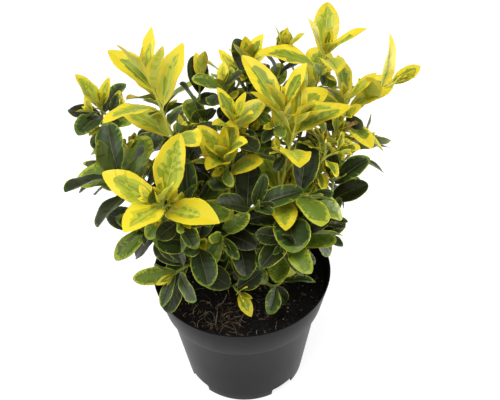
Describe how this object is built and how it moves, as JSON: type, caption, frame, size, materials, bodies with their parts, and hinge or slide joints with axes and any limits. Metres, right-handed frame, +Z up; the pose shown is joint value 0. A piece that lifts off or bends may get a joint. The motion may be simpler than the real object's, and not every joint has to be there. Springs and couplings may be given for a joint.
{
  "type": "potted emerald gold wintercreeper",
  "caption": "Low evergreen shrub with gold-margined leaves on short boughs, growing from potting soil in a round black nursery pot with a wide band.",
  "frame": {"origin": "middle of the pot's flat underside", "axes": "+Z up along the pot's axis, -Y towards the front of the plant in the picture"},
  "size_m": [0.3169, 0.2619, 0.396],
  "materials": {
    "nursery_plastic": "satin black, moulded",
    "peat": "moist, crumbly",
    "bark": "matt, corky",
    "green_bark": "matt, smooth",
    "gold_leaf": "leathery, slightly glossy",
    "green_leaf": "leathery, slightly glossy"
  },
  "bodies": {
    "root": {"bough_back_centre": "green_bark", "bough_back_left": "green_bark", "bough_back_right_tall": "green_bark", "bough_centre": "green_bark", "bough_front": "green_bark", "bough_front_left": "green_bark", "bough_front_right": "green_bark", "bough_front_rim": "green_bark", "bough_left_far": "green_bark", "bough_left_inner": "green_bark", "bough_left_low": "green_bark", "bough_left_mid": "green_bark", "bough_left_tall": "green_bark", "bough_rear_far_left": "green_bark", "bough_rear_far_right": "green_bark", "bough_rear_high": "green_bark", "bough_rear_left": "green_bark", "bough_rear_low_left": "green_bark", "bough_rear_low_right": "green_bark", "bough_rear_right": "green_bark", "bough_right_curly": "green_bark", "bough_right_far": "green_bark", "bough_right_inner": "green_bark", "bough_right_low": "green_bark", "bough_right_mid": "green_bark", "bough_sprig_front": "green_bark", "bough_sprig_right": "green_bark", "foliage_back_centre": "gold_leaf", "foliage_back_left": "gold_leaf", "foliage_back_right_tall": "gold_leaf", "foliage_centre": "gold_leaf", "foliage_front": "green_leaf", "foliage_front_left": "gold_leaf", "foliage_front_right": "green_leaf", "foliage_front_rim": "green_leaf", "foliage_left_far": "gold_leaf", "foliage_left_inner": "green_leaf", "foliage_left_low": "green_leaf", "foliage_left_mid": "green_leaf", "foliage_left_tall": "gold_leaf", "foliage_rear_far_left": "green_leaf", "foliage_rear_far_right": "green_leaf", "foliage_rear_high": "gold_leaf", "foliage_rear_left": "gold_leaf", "foliage_rear_low_left": "green_leaf", "foliage_rear_low_right": "green_leaf", "foliage_rear_right": "gold_leaf", "foliage_right_curly": "gold_leaf", "foliage_right_far": "gold_leaf", "foliage_right_inner": "gold_leaf", "foliage_right_low": "green_leaf", "foliage_right_mid": "green_leaf", "foliage_sprig_front": "gold_leaf", "foliage_sprig_right": "gold_leaf", "main_stem": "bark", "pot": "nursery_plastic", "potting_soil": "peat"}
  },
  "joints": []
}
